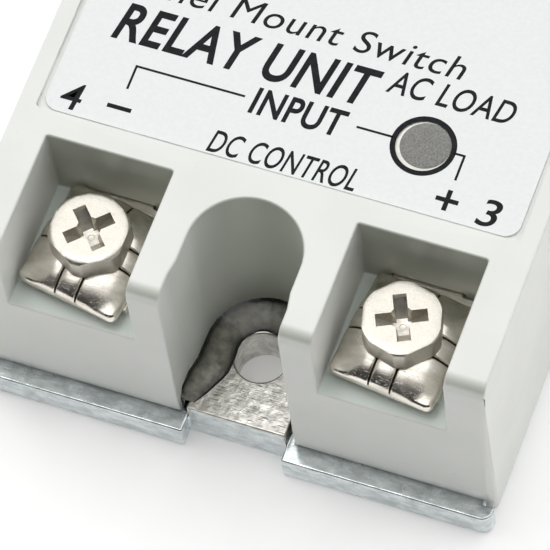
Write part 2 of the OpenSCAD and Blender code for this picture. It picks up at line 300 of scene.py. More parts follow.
housing_plastic = moulded_plastic(
    "housing_plastic", (0.75, 0.765, 0.735), (0.72, 0.735, 0.705), gloss=0.34, tint="painted_shade")
black_epoxy = moulded_plastic(
    "black_epoxy", (0.022, 0.022, 0.024), (0.015, 0.015, 0.017), gloss=0.45)
white_epoxy = moulded_plastic(
    "white_epoxy", (0.80, 0.79, 0.74), (0.74, 0.73, 0.68), gloss=0.4)
print("plastics:", housing_plastic.name, black_epoxy.name, white_epoxy.name)


# %% Metals
def plated_metal(name, light_tone, dark_tone, grain, rough, depth, stretch=(1, 1, 1)):
    """Plated metal: grain that is drawn out along one direction, and fine scratches."""
    finish = Finish(name, Metallic=1.0)
    streaks = finish.noise(grain, stretch, detail=6)
    finish.colour(finish.ramp(streaks, (0.3, dark_tone), (0.65, light_tone)))
    patches = finish.noise(grain * 4, detail=3, seed=3)
    finish.rough(finish.ramp(patches, (0.3, rough), (0.75, rough + 0.16)))
    finish.bump(streaks, depth)
    scratches = finish.ramp(finish.noise(0.05, (30, 1, 1), detail=2, seed=7), (0.62, 0), (0.7, 1))
    finish.bump(scratches, depth * 0.5)
    return finish.material


zinc_plate = plated_metal(
    "zinc_plate", (0.80, 0.85, 0.86), (0.50, 0.55, 0.56),
    grain=0.30, rough=0.17, depth=0.007, stretch=(4, 2, 2))
raw_metal = plated_metal(
    "raw_metal", (0.80, 0.785, 0.74), (0.50, 0.485, 0.45),
    grain=0.7, rough=0.26, depth=0.07, stretch=(1, 1.6, 1))
nickel_plate = plated_metal(
    "nickel_plate", (0.87, 0.83, 0.76), (0.66, 0.61, 0.53),
    grain=0.8, rough=0.16, depth=0.010, stretch=(3, 1, 1))
shaded_nickel = plated_metal(
    "shaded_nickel", (0.16, 0.14, 0.11), (0.07, 0.06, 0.045), grain=0.5, rough=0.4, depth=0.010)
recess_nickel = plated_metal(
    "recess_nickel", (0.58, 0.49, 0.34), (0.15, 0.115, 0.065), grain=0.35, rough=0.2, depth=0.05)
nickel_screw = plated_metal(
    "nickel_screw", (0.66, 0.635, 0.575), (0.53, 0.505, 0.45), grain=0.11, rough=0.30, depth=0.008)
tinned_lead = plated_metal(
    "tinned_lead", (0.80, 0.80, 0.79), (0.60, 0.60, 0.60),
    grain=0.6, rough=0.3, depth=0.010, stretch=(3, 1, 1))
copper = plated_metal(
    "copper", (0.80, 0.46, 0.30), (0.62, 0.32, 0.20),
    grain=0.8, rough=0.3, depth=0.010, stretch=(4, 1, 1))
print("metals:", zinc_plate.name, raw_metal.name, nickel_plate.name, nickel_screw.name)


# %% Resins, film, ink and the glossy small parts
def glossy_skin(name, light_tone, dark_tone, lump, rough, depth, **constants):
    """A poured or lacquered skin: soft mottling under an even gloss."""
    finish = Finish(name, **constants)
    mottle = finish.noise(lump, detail=4)
    finish.colour(finish.ramp(mottle, (0.35, dark_tone), (0.68, light_tone)))
    finish.rough(finish.ramp(finish.noise(lump * 2, seed=5), (0.3, rough), (0.7, rough + 0.08)))
    finish.bump(mottle, depth)
    return finish.material


resin = glossy_skin(
    "resin", (0.045, 0.042, 0.036), (0.012, 0.011, 0.010),
    lump=1.6, rough=0.2, depth=0.06, Coat_Weight=0.2)
label_film = glossy_skin(
    "label_film", (0.765, 0.79, 0.785), (0.735, 0.76, 0.76), lump=0.35, rough=0.36, depth=0.004)
label_ink = glossy_skin(
    "label_ink", (0.016, 0.017, 0.020), (0.008, 0.009, 0.011),
    lump=0.5, rough=0.6, depth=0.003, Specular_IOR_Level=0.12)
lamp_window = glossy_skin(
    "lamp_window", (0.26, 0.26, 0.245), (0.15, 0.15, 0.14),
    lump=0.14, rough=0.36, depth=0.02, Specular_IOR_Level=0.3)
led_plastic = glossy_skin(
    "led_plastic", (0.62, 0.03, 0.02), (0.40, 0.02, 0.015),
    lump=0.8, rough=0.12, depth=0.004, Coat_Weight=0.5)
ceramic = glossy_skin(
    "ceramic", (0.86, 0.86, 0.83), (0.78, 0.78, 0.75), lump=0.3, rough=0.5, depth=0.01)
resistor_coat = glossy_skin(
    "resistor_coat", (0.62, 0.50, 0.31), (0.50, 0.39, 0.23),
    lump=0.9, rough=0.28, depth=0.02, Coat_Weight=0.3)
film_case = glossy_skin(
    "film_case", (0.34, 0.035, 0.03), (0.24, 0.025, 0.02), lump=1.2, rough=0.3, depth=0.01)
print("skins:", resin.name, label_film.name, lamp_window.name)

# %% Thin resin
def thin_resin_finish():
    """Resin that is black where it is deep and hazy where it is spread thin."""
    finish = Finish("thin_resin", Roughness=0.13, IOR=1.5)
    depth = finish.nodes.new("ShaderNodeAttribute")
    depth.attribute_name = "haze"
    cloud = finish.ramp(
        finish.noise(0.7, detail=5), (0.35, (0.20, 0.195, 0.165)), (0.7, (0.37, 0.36, 0.305)))
    finish.colour(finish.blend((0.010, 0.010, 0.009), cloud, depth.outputs["Fac"]))
    finish.bump(finish.noise(0.9, detail=3, seed=2), 0.05)
    return finish.material


thin_resin = thin_resin_finish()
print("thin resin:", thin_resin.name)

# %% Circuit board
def board_finish():
    """Green solder mask over copper tracks that run along and across the board."""
    finish = Finish("board_laminate", IOR=1.5, Roughness=0.32)
    track = finish.ramp(finish.noise(2.2, (2.5, 0.6, 1), detail=0), (0.50, 0), (0.52, 1))
    weave = finish.ramp(
        finish.noise(0.4, (3, 1, 1)), (0.35, (0.012, 0.115, 0.045)), (0.7, (0.018, 0.15, 0.06)))
    finish.colour(finish.blend(weave, (0.035, 0.26, 0.10), track))
    finish.bump(track, 0.03)
    return finish.material


board_laminate = board_finish()
print("board:", board_laminate.name)

# %% [markdown]
# ## Building and settling a mesh
# Each detailed piece is drawn in millimetres, scaled to metres, and given a finish.
# Modifiers such as Bevel are then settled into a plain mesh, so that the piece holds
# the shape that is shown. A piece takes the place of its CAD node and rides on the
# same body.

# %% Turn a sketch into a piece
def settle(piece):
    """Turns what the modifiers make into the piece's own plain mesh."""
    bpy.context.view_layer.update()
    graph = bpy.context.evaluated_depsgraph_get()
    mesh = bpy.data.meshes.new_from_object(piece.evaluated_get(graph))
    piece.modifiers.clear()
    piece.data = mesh
    return piece


def new_piece(name, sketch, *materials, smooth=30):
    """A piece from a bmesh sketch in millimetres; creases sharper than smooth stay."""
    mesh = bpy.data.meshes.new(name)
    bmesh.ops.recalc_face_normals(sketch, faces=sketch.faces)
    sketch.to_mesh(mesh)
    sketch.free()
    mesh.transform(Matrix.Scale(MM, 4))
    for material in materials:
        mesh.materials.append(material)
    mesh.shade_smooth()
    mesh.set_sharp_from_angle(angle=math.radians(smooth))
    piece = bpy.data.objects.new(name, mesh)
    bpy.context.scene.collection.objects.link(piece)
    return piece


def rounded_edges(piece, radius, segments=3, angle=30, by_weight=False):
    """Breaks the edges that are sharper than angle, or those that carry a weight."""
    bevel = piece.modifiers.new("edges", "BEVEL")
    bevel.width = radius * MM
    bevel.segments = segments
    bevel.use_clamp_overlap = not by_weight
    bevel.limit_method = "WEIGHT" if by_weight else "ANGLE"
    bevel.angle_limit = math.radians(angle)
    bevel.miter_outer = "MITER_ARC"
    normals = piece.modifiers.new("normals", "WEIGHTED_NORMAL")
    normals.keep_sharp = False
    piece.data.shade_smooth()
    return settle(piece)


def stand_for(piece, body, slot, *nodes):
    """The piece rides on the body and is shown instead of these CAD nodes."""
    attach(piece, body)
    if nodes:
        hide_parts(*nodes)
    print(f"{piece.name}: {len(piece.data.polygons)} faces, rides on {body}")
    return piece


print("piece helpers ready")

# %% [markdown]
# ## Copies of CAD pieces with broken edges
# A CAD edge is perfectly sharp, and a real one never is: a mould or a press leaves a
# small radius that catches the light. Where the CAD shape is right, the piece starts
# as a copy of it. A CAD mesh is loose triangles, so the copy is merged, its flat
# faces are joined again, and then a Bevel modifier breaks the edges. The housing has
# some very short edges that would hold the whole bevel back. They are merged or moved
# first, and only the edges that carry a weight are broken, without the clamp.

# %% Copy, merge and round a CAD node
def sketch_of(node):
    """A CAD node's shape in millimetres, merged and with its flat faces whole."""
    sketch = bmesh.new()
    sketch.from_mesh(frame["nodes"][node].data)
    bmesh.ops.scale(sketch, vec=(1 / MM,) * 3, verts=sketch.verts)
    bmesh.ops.remove_doubles(sketch, verts=sketch.verts, dist=0.001)
    bmesh.ops.dissolve_limit(
        sketch, angle_limit=math.radians(1), verts=sketch.verts, edges=sketch.edges)
    return sketch


def rounded_copy(node, material, radius, segments=2):
    """A copy of a CAD node on the relay's body, with its edges rounded.
    """
    piece = new_piece(f"{node}_finished", sketch_of(node), material)
    rounded_edges(piece, radius, segments)
    slot = material.name.split(".")[0]
    return stand_for(piece, "relay_body", slot, node)


print("the housing has", len(frame["nodes"]["housing"].data.polygons), "loose triangles")


# %% Prepare the housing's edges
def weigh_edges(sketch, stays_sharp, angle=44):
    """Marks the edges to round: the sharp ones, but not where stays_sharp says so."""
    weights = sketch.edges.layers.float.new("bevel_weight_edge")
    for edge in sketch.edges:
        middle = (edge.verts[0].co + edge.verts[1].co) / 2
        is_sharp = math.degrees(edge.calc_face_angle(0)) > angle
        edge[weights] = 1.0 if is_sharp and not stays_sharp(middle) else 0.0


def move_seams(sketch, top_z, near=0.01, flat=0.02):
    """Moves the seams of the ring-shaped top face to the middle, clear of its corners."""

    def on_top(item):
        return min(vertex.co.z for vertex in item.verts) > top_z - near

    faces = [face for face in sketch.faces if on_top(face)]
    edges = {edge for face in faces for edge in face.edges}
    points = {vertex for face in faces for vertex in face.verts}
    bmesh.ops.bisect_plane(sketch, geom=[*faces, *edges, *points], dist=near,
                           plane_co=(0, 0, 0), plane_no=(1, 0, 0))
    seams = []
    for edge in sketch.edges:
        off_middle = max(abs(vertex.co.x) for vertex in edge.verts) > near
        if on_top(edge) and off_middle and edge.calc_face_angle(1) < flat:
            seams.append(edge)
    bmesh.ops.dissolve_edges(sketch, edges=seams)
    return len(seams)


def clean_corners(sketch, reach_x, reach_y, angle=8):
    """Merges the thin slivers on the housing's round corners into whole facets."""
    slivers = []
    for edge in sketch.edges:
        in_corner = all(abs(v.co.x) > reach_x and abs(v.co.y) > reach_y for v in edge.verts)
        if in_corner and math.degrees(edge.calc_face_angle(1)) < angle:
            slivers.append(edge)
    bmesh.ops.dissolve_edges(sketch, edges=slivers)
    return len(slivers)


def near_label_recess(point):
    """True round the recess for the label, whose tight corners can't be rounded."""
    inside = abs(point.x) < recess_zone.x and abs(point.y) < recess_zone.y
    return inside and point.z > recess_zone.z


recess_zone = Vector((label_high.x + 0.6, label_high.y + 0.4, label_low.z - 0.5))
corner_zone = (housing_high.x - 0.6, housing_high.y - 1.6)
housing_sketch = sketch_of("housing")
print("seams moved:", move_seams(housing_sketch, housing_high.z))
print("slivers merged:", clean_corners(housing_sketch, *corner_zone))
weigh_edges(housing_sketch, near_label_recess)

# %% Round the housing
housing_edge = 0.2
housing = new_piece("housing_finished", housing_sketch, housing_plastic)
rounded_edges(housing, housing_edge, segments=3, by_weight=True)
stand_for(housing, "relay_body", "housing_plastic", "housing")

# %% [markdown]
# ## Painted shade in the recesses
# The inner walls of the recesses are darkened to a grey-green as painted shade, and
# the well floors get a faint painted green tint. The top and the outside keep the
# plain colour. It could be a texture, but it follows the way that each wall faces, so
# it is a colour on the mesh: each corner of a face takes more of the painted shade the
# more it faces out along the relay. The colour's alpha says how far the skin is still
# satin.

# %% Paint shade into the recesses
unshaded_tone = (1, 1, 1, 1)
painted_shade_tone = (0.62, 0.64, 0.58, 0)
painted_floor_tint = (0.93, 1, 0.985, 0.5)
shade_softness = 0.7
recess_start = 15
recess_end = housing_high.y - 0.6
well_floor_z = 14.3
painted_shade = housing.data.attributes.new("painted_shade", "FLOAT_COLOR", "CORNER")
for face in housing.data.polygons:
    x, y, z = face.center / MM
    level = face.normal.z > 0.9 and abs(z - well_floor_z) < 0.3
    on_well_floor = level and recess_start < abs(y) < recess_end
    for corner in face.loop_indices:
        x, y, z = housing.data.vertices[housing.data.loops[corner].vertex_index].co / MM
        in_recess = recess_start < abs(y) < recess_end and z < housing_high.z - 0.01
        # Painted shade: the more a corner faces out along the relay, the darker it is.
        outwards = housing.data.corner_normals[corner].vector.y * math.copysign(1, y)
        shade_share = max(0, outwards) ** shade_softness if in_recess else 0
        tone = [a + (b - a) * shade_share for a, b in zip(unshaded_tone, painted_shade_tone)]
        # The well floors take the painted green tint, the recess walls the painted shade.
        painted_shade.data[corner].color = painted_floor_tint if on_well_floor else tone
print("housing faces:", len(housing.data.polygons))

# %% [markdown]
# ## Base plate
# The plate is stamped from thick steel and plated, so its top edges are rounded over
# and its cut faces are rougher. It is a copy of the CAD plate with a larger edge
# radius. The tab in each notch and the hole in it get bare, scratched metal as a
# second material on their own faces.

# %% Round the plate and roughen its tabs
plate_edge = 0.6
tab_half_width = 4.5
tab_start = hole_y - 5
tab_floor = 2.9
hole_lip = hole_radius + 0.5
plate = rounded_copy("base_plate", zinc_plate, plate_edge, segments=6)
plate.data.materials.append(raw_metal)
for face in plate.data.polygons:
    x, y, z = face.center / MM
    on_tab = abs(x) < tab_half_width and abs(y) > tab_start and z > tab_floor
    in_hole = math.hypot(x, abs(y) - hole_y) < hole_lip
    face.material_index = 1 if on_tab or in_hole else 0
print("tab faces:", sum(face.material_index for face in plate.data.polygons))

# %% [markdown]
# ## Clamp washers
# The washer is a square stamped from plate, with a dome pressed into its middle so
# that it grips a wire at its rim. Pairs of grooves cross it and split the dome into
# four pads. A dome, grooves and rolled edges all follow from one rule for the height
# of the top, so the washer is drawn as a grid whose points take that height. The
# lines of the grid lie close together only where the shape turns quickly.

# %% The washer's rule
washer_width = 9.1
washer_depth = 9.6
washer_edge = 1.1
washer_crown = 1.2
dome_foot = 5.5
dome_flat = 2.7
groove_offset = 0.95
groove_depth = 0.30
groove_width = 0.085
hollow_depth = 0.12
hollow_width = 0.36
border_droop = 0.26
border_reach = 1.6
lip_droop = 0.14
lip_reach = 0.22
corner_round = 0.6
washer_turns = {"1": 9.5, "2": -6.5, "3": -6.5, "4": -9.5}


def dip(distance, width):
    """1 in the middle of a groove, falling smoothly to 0 over its width."""
    return math.exp(-((distance / width) ** 2))


def washer_height(x, y):
    """Height of the washer's top over its underside, in the washer's own frame."""
    rise = (dome_foot - math.hypot(x, y)) / (dome_foot - dome_flat)
    rise = min(max(rise, 0), 1)
    height = washer_edge + washer_crown * (0.45 * rise + 0.55 * math.sin(rise * math.pi / 2))
    for across in (x, y):
        gap = abs(abs(across) - groove_offset)
        height -= groove_depth * dip(gap, groove_width) + hollow_depth * dip(gap, hollow_width)
    border = min(washer_width / 2 - abs(x), washer_depth / 2 - abs(y))
    height -= border_droop * max(0, 1 - border / border_reach) ** 2
    return height - lip_droop * max(0, 1 - border / lip_reach) ** 2


def grid_lines(half, step=0.4):
    """Line positions over a width: even, but close at the grooves and the border."""
    fine = (0, 0.035, 0.07, 0.11, 0.17, 0.26)
    lines = {round(i * step, 3) for i in range(int(half / step) + 1)}
    lines |= {round(groove_offset + side * gap, 3) for gap in fine for side in (-1, 1)}
    lines |= {round(half - gap, 3) for gap in fine}
    lines = {line for line in lines if line <= half}
    return sorted(lines | {-line for line in lines})


grid_x, grid_y = grid_lines(washer_width / 2), grid_lines(washer_depth / 2)
print("a washer's grid is", len(grid_x), "by", len(grid_y))


# %% Join loops of points with faces
def skin(sketch, loops, ends=True):
    """Joins each loop of points to the next one, and closes the two ends."""
    for here, there in zip(loops, loops[1:]):
        for k in range(len(here)):
            after = (k + 1) % len(here)
            sketch.faces.new((here[k], here[after], there[after], there[k]))
    if ends:
        sketch.faces.new(loops[0][::-1])
        sketch.faces.new(loops[-1])


def circle(radius, segments, x=0, y=0):
    """Points round a circle."""
    angles = [2 * math.pi * k / segments for k in range(segments)]
    return [(x + radius * math.cos(a), y + radius * math.sin(a)) for a in angles]


def ring_stack(rings, segments=64):
    """A closed sketch through round rings, each a radius, a height and a shift."""
    sketch = bmesh.new()
    loops = []
    for radius, height, *shift in rings:
        spots = circle(radius, segments, *shift)
        loops.append([sketch.verts.new((*spot, height)) for spot in spots])
    skin(sketch, loops)
    return sketch


print("a circle of 64 points has chords", round(math.dist(*circle(1, 64)[:2]), 3), "radii long")


# %% Draw the washers
def on_outline(x, y):
    """The point, moved in so that the square's corners come out round."""
    dx = abs(x) - (washer_width / 2 - corner_round)
    dy = abs(y) - (washer_depth / 2 - corner_round)
    if dx <= 0 or dy <= 0:
        return x, y
    pull = 1 - max(dx, dy) / math.hypot(dx, dy)
    return x - math.copysign(dx * pull, x), y - math.copysign(dy * pull, y)


def washer_sketch():
    """One washer around its own middle, with its underside at height 0."""
    sketch = bmesh.new()
    sheets = []
    for is_top in (True, False):
        sheet = {}
        for i, x in enumerate(grid_x):
            for j, y in enumerate(grid_y):
                z = washer_height(x, y) if is_top else 0
                sheet[i, j] = sketch.verts.new((*on_outline(x, y), z))
        sheets.append(sheet)
        for i in range(len(grid_x) - 1):
            for j in range(len(grid_y) - 1):
                cell = [(i, j), (i + 1, j), (i + 1, j + 1), (i, j + 1)]
                sketch.faces.new([sheet[spot] for spot in cell])
    last_x, last_y = len(grid_x) - 1, len(grid_y) - 1
    rim = [(i, 0) for i in range(last_x)] + [(last_x, j) for j in range(last_y)]
    rim += [(i, last_y) for i in range(last_x, 0, -1)] + [(0, j) for j in range(last_y, 0, -1)]
    top, bottom = sheets
    skin(sketch, [[bottom[spot] for spot in rim], [top[spot] for spot in rim]], ends=False)
    return sketch


def cut(piece, cutter):
    """Takes the cutter's shape out of the piece and throws the cutter away."""
    boolean = piece.modifiers.new("cut", "BOOLEAN")
    boolean.operation = "DIFFERENCE"
    boolean.solver = "EXACT"
    boolean.object = cutter
    settle(piece)
    bpy.data.objects.remove(cutter)


def moved(piece, matrix):
    """The piece's mesh moved, turned or mirrored, in millimetres, and kept right side out."""
    shift = matrix.copy()
    shift.translation = matrix.translation * MM
    piece.data.transform(shift)
    if matrix.determinant() < 0:
        piece.data.flip_normals()
    return piece


washer_bore = 1.8
groove_shade = 0.06
for number, place in screw_places.items():
    washer = new_piece(f"clamp_washer_{number}_finished", washer_sketch(), nickel_plate,
                       shaded_nickel, smooth=50)
    for face in washer.data.polygons:
        across = [abs(abs(c / MM) - groove_offset) for c in face.center[:2]]
        if face.normal.z > 0.05 and min(across) < groove_shade:
            face.material_index = 1
    bore = new_piece("bore", ring_stack([(washer_bore, -1), (washer_bore, 4)], 48))
    cut(washer, bore)
    foot_z = corners(f"clamp_washer_{number}")[0].z
    turn = Matrix.Rotation(math.radians(washer_turns[number]), 4, "Z")
    moved(washer, Matrix.Translation((place.x, place.y, foot_z)) @ turn)
    stand_for(washer, f"clamp_{number}", "nickel_plate", f"clamp_washer_{number}")

# %% [markdown]
# ## Screw heads
# A hexagon head is turned on a lathe after it is pressed, so a shallow cone takes
# its corners off at the top. The radius at each angle and height is therefore the
# smallest of three: the hexagon, the turned cylinder and the cone. The cross recess
# is cut afterwards with two tapered bars and a cone, as a punch would press it.

# %% Draw a screw's head
head_flats = 6.3
head_turned_radius = 3.4
head_segments = 144
foot_chamfer = 0.12
rim_radii = {"1": 3.27, "2": 3.17, "3": 3.27, "4": 3.17}
rim_drop = 0.05
cone_slope = 1.1
cross_length = 4.25
cross_width = 1.15
cross_depth = 1.7
cross_step = 0.55
cross_lean = 0.06
cross_floor = 1.5
cross_taper = 0.13
punch_rise = 0.3
hexagon_turns = {"1": -12, "2": -40, "3": 45, "4": 30}
cross_turns = {"1": -70, "2": -15, "3": 24.5, "4": 43.5}


def head_sketch(height, hexagon_turn, rim_radius):
    """A head that stands on height 0, without its recess."""
    levels = [(0, -foot_chamfer), (foot_chamfer, 0), (height - 0.6, 0)]
    levels += [(height - down, 0) for down in (0.42, 0.34, 0.26, 0.18, 0.10, rim_drop)]
    sketch = bmesh.new()
    loops = []
    for z, growth in levels:
        loop = []
        for k in range(head_segments):
            angle = 2 * math.pi * k / head_segments
            sixth = (math.degrees(angle) - hexagon_turn) % 60 - 30
            hexagon = head_flats / 2 / math.cos(math.radians(sixth))
            cone = rim_radius + (height - z - rim_drop) * cone_slope
            radius = min(hexagon, head_turned_radius, cone) + growth
            loop.append(sketch.verts.new((radius * math.cos(angle), radius * math.sin(angle), z)))
        loops.append(loop)
    for radius, z in ((2.95, height - 0.01), (2.5, height)):
        loops.append([sketch.verts.new((*spot, z)) for spot in circle(radius, head_segments)])
    skin(sketch, loops)
    return sketch


def recess_bar(turn):
    """One tapered bar of the cross: steep ends, then a slope down to the middle."""
    half = cross_length / 2
    left = [(-half, punch_rise), (-half + cross_lean, -cross_step), (-cross_floor / 2, -cross_depth)]
    profile = left + [(-x, z) for x, z in reversed(left)]
    sketch = bmesh.new()
    sides = []
    for side in (-1, 1):
        points = [(x, side * cross_width / 2 * (1 + cross_taper * min(z, 0)), z) for x, z in profile]
        sides.append([sketch.verts.new(point) for point in points])
    skin(sketch, sides)
    bmesh.ops.rotate(sketch, matrix=Matrix.Rotation(math.radians(turn), 3, "Z"), verts=sketch.verts)
    return sketch


print("head", head_flats, "mm across flats, recess", cross_length, "by", cross_width, "mm")

# %% [markdown]
# ## The thread
# A thread is a ridge that follows a helix round the shank. Geometry Nodes draw the
# helix as a spiral curve, sweep a small diamond along it and add the plain core.
# The inputs are named, so one tree makes all four screws, and the result is turned
# into a plain mesh because instances and live modifiers aren't exported.

# %% How every Geometry Nodes tree starts, ends and runs
def start_tree(name, **sizes):
    """A tree that takes geometry, named sizes and a finish; each size has a kind."""
    tree = bpy.data.node_groups.new(name, "GeometryNodeTree")
    sockets = {"Geometry": "Geometry", **sizes, "Finish": "Material"}
    for title, kind in sockets.items():
        tree.interface.new_socket(
            title.replace("_", " "), in_out="INPUT", socket_type=f"NodeSocket{kind}")
    tree.interface.new_socket("Geometry", in_out="OUTPUT", socket_type="NodeSocketGeometry")
    return tree, tree.nodes.new("NodeGroupInput")


def times(tree, value, factor):
    """A value multiplied by a fixed number, inside a tree."""
    product = tree.nodes.new("ShaderNodeMath")
    product.operation = "MULTIPLY"
    product.inputs[1].default_value = factor
    tree.links.new(value, product.inputs[0])
    return product.outputs[0]


def end_tree(tree, entry, geometry):
    """Makes instances real and gives the finish, because the export drops instances."""
    real = tree.nodes.new("GeometryNodeRealizeInstances")
    finish = tree.nodes.new("GeometryNodeSetMaterial")
    result = tree.nodes.new("NodeGroupOutput")
    tree.links.new(geometry, real.inputs["Geometry"])
    tree.links.new(real.outputs["Geometry"], finish.inputs["Geometry"])
    tree.links.new(entry.outputs["Finish"], finish.inputs["Material"])
    tree.links.new(finish.outputs["Geometry"], result.inputs["Geometry"])
    print("tree", tree.name, "has", len(tree.nodes), "nodes")
    return tree


def run_tree(piece, tree, **values):
    """Runs a tree on a piece with these inputs, and settles the result."""
    modifier = piece.modifiers.new(tree.name, "NODES")
    modifier.node_group = tree
    for item in tree.interface.items_tree:
        key = item.name.replace(" ", "_")
        if item.in_out == "INPUT" and key in values:
            modifier[item.identifier] = values[key]
    settle(piece)


print("tree helpers ready")


# %% A Geometry Nodes tree for the thread
def thread_tree():
    """Adds a threaded shank under the geometry that comes in."""
    tree, entry = start_tree(
        "threaded_shank", Length="Float", Pitch="Float", Core_Radius="Float", Ridge="Float",
        Foot="Vector")
    nodes, links = tree.nodes, tree.links
    turns = nodes.new("ShaderNodeMath")
    turns.operation = "DIVIDE"
    links.new(entry.outputs["Length"], turns.inputs[0])
    links.new(entry.outputs["Pitch"], turns.inputs[1])
    helix = nodes.new("GeometryNodeCurveSpiral")
    helix.inputs["Resolution"].default_value = 36
    links.new(turns.outputs[0], helix.inputs["Rotations"])
    links.new(entry.outputs["Core Radius"], helix.inputs["Start Radius"])
    links.new(entry.outputs["Core Radius"], helix.inputs["End Radius"])
    links.new(entry.outputs["Length"], helix.inputs["Height"])
    diamond = nodes.new("GeometryNodeCurvePrimitiveCircle")
    diamond.inputs["Resolution"].default_value = 4
    links.new(entry.outputs["Ridge"], diamond.inputs["Radius"])
    sweep = nodes.new("GeometryNodeCurveToMesh")
    sweep.inputs["Fill Caps"].default_value = True
    upright = nodes.new("GeometryNodeSetCurveNormal")
    upright.mode = "Z_UP"
    links.new(helix.outputs["Curve"], upright.inputs["Curve"])
    links.new(upright.outputs["Curve"], sweep.inputs["Curve"])
    links.new(diamond.outputs["Curve"], sweep.inputs["Profile Curve"])

    core = nodes.new("GeometryNodeMeshCylinder")
    core.inputs["Vertices"].default_value = 48
    links.new(entry.outputs["Core Radius"], core.inputs["Radius"])
    links.new(entry.outputs["Length"], core.inputs["Depth"])
    lift = nodes.new("ShaderNodeCombineXYZ")
    links.new(times(tree, entry.outputs["Length"], 0.5), lift.inputs["Z"])
    raised_core = nodes.new("GeometryNodeTransform")
    links.new(core.outputs["Mesh"], raised_core.inputs["Geometry"])
    links.new(lift.outputs["Vector"], raised_core.inputs["Translation"])

    shank = nodes.new("GeometryNodeJoinGeometry")
    links.new(sweep.outputs["Mesh"], shank.inputs["Geometry"])
    links.new(raised_core.outputs["Geometry"], shank.inputs["Geometry"])
    placed = nodes.new("GeometryNodeTransform")
    links.new(shank.outputs["Geometry"], placed.inputs["Geometry"])
    links.new(entry.outputs["Foot"], placed.inputs["Translation"])
    whole = nodes.new("GeometryNodeJoinGeometry")
    links.new(placed.outputs["Geometry"], whole.inputs["Geometry"])
    links.new(entry.outputs["Geometry"], whole.inputs["Geometry"])
    return end_tree(tree, entry, whole.outputs["Geometry"])


threaded_shank = thread_tree()

# %% Cut and thread the screws
thread_pitch = 0.6
core_radius = 1.44
ridge = 0.24
punch_tip = [(0.25, -1.75), (0.95, -0.5), (1.02, punch_rise)]
recess_margin = 0.1
head_height = corners("terminal_screw_3")[1].z - screw_places["3"].z
for number, place in screw_places.items():
    low, high = corners(f"terminal_screw_{number}")
    screw = new_piece(f"terminal_screw_{number}_finished",
                      head_sketch(head_height, hexagon_turns[number], rim_radii[number]),
                      nickel_screw, recess_nickel, smooth=20)
    for turn in (cross_turns[number], cross_turns[number] + 90):
        bar = new_piece("bar", recess_bar(turn))
        cut(screw, moved(bar, Matrix.Translation((0, 0, head_height))))
    punch = new_piece("punch", ring_stack(punch_tip, 24))
    cut(screw, moved(punch, Matrix.Translation((0, 0, head_height))))
    rounded_edges(screw, 0.05, segments=2, angle=32)
    for face in screw.data.polygons:
        x, y, z = face.center / MM
        is_deep = recess_margin < z < head_height - recess_margin
        face.material_index = 1 if is_deep and math.hypot(x, y) < cross_length / 2 else 0
    shank_length = high.z - head_height - low.z
    run_tree(screw, threaded_shank, Length=shank_length * MM, Pitch=thread_pitch * MM,
             Core_Radius=core_radius * MM, Ridge=ridge * MM,
             Foot=Vector((0, 0, -shank_length)) * MM, Finish=nickel_screw)
    moved(screw, Matrix.Translation((place.x, place.y, high.z - head_height)))
    stand_for(screw, f"screw_{number}", "nickel_screw", f"terminal_screw_{number}")

# %% [markdown]
# ## Resin in the notches
# The housing is filled with resin from below, and some of it creeps out round the
# foot of each notch wall before it sets. It climbs the wall a little, lies over the
# plate behind the hole and thins out towards the front. It is swept along the wall:
# at each step a cross-section runs from high on the wall to a thin rounded edge.

# %% The path along the wall
notch_radius = 4.8
notch_mouth = 5.05
neck_length = 2.3
flare_length = 1.4
notch_run = 5.8
notch_centre = hole_y - 0.25
arc_share = 0.55
tab_top = plate_high.z


def wall_point(step):
    """A point on the notch's wall and the way in, for a step from -1 to 1."""
    if abs(step) <= arc_share:
        angle = math.pi / 2 * (1 - step / arc_share)
        inward = Vector((-math.cos(angle), -math.sin(angle)))
        return Vector((0, -notch_centre)) - inward * notch_radius, inward
    side = math.copysign(1, step)
    along = (abs(step) - arc_share) / (1 - arc_share)
    flared = min(max((along * notch_run - neck_length) / flare_length, 0), 1)
    spread = notch_radius + (notch_mouth - notch_radius) * flared
    return Vector((side * spread, -notch_centre - along * notch_run)), Vector((-side, 0))


def resin_reach(step):
    """How far the resin reaches in from the wall: wide by the hole, thin in front."""
    reach_at_hole = 2.66
    along = max(0, (abs(step) - arc_share) / (1 - arc_share))
    wander = 0.05 * math.sin(11 * step) + 0.03 * math.sin(23 * step + 1)
    if step > 0:
        return reach_at_hole - 2.1 * min(1, 1.6 * along) + wander
    return reach_at_hole + 1.4 * along - 2.9 * along ** 2 + wander


print("resin reach from left to right:", [round(resin_reach(k / 2), 2) for k in range(-2, 3)])


# %% Sweep the resin along the wall
def resin_spot(foot, inward, reach, share, z):
    """A point at this share of the reach; the first ones lie inside the wall."""
    sunk_in_wall = 0.1
    spot = foot + inward * (reach * share - sunk_in_wall * (1 - share))
    return spot.x, spot.y, z


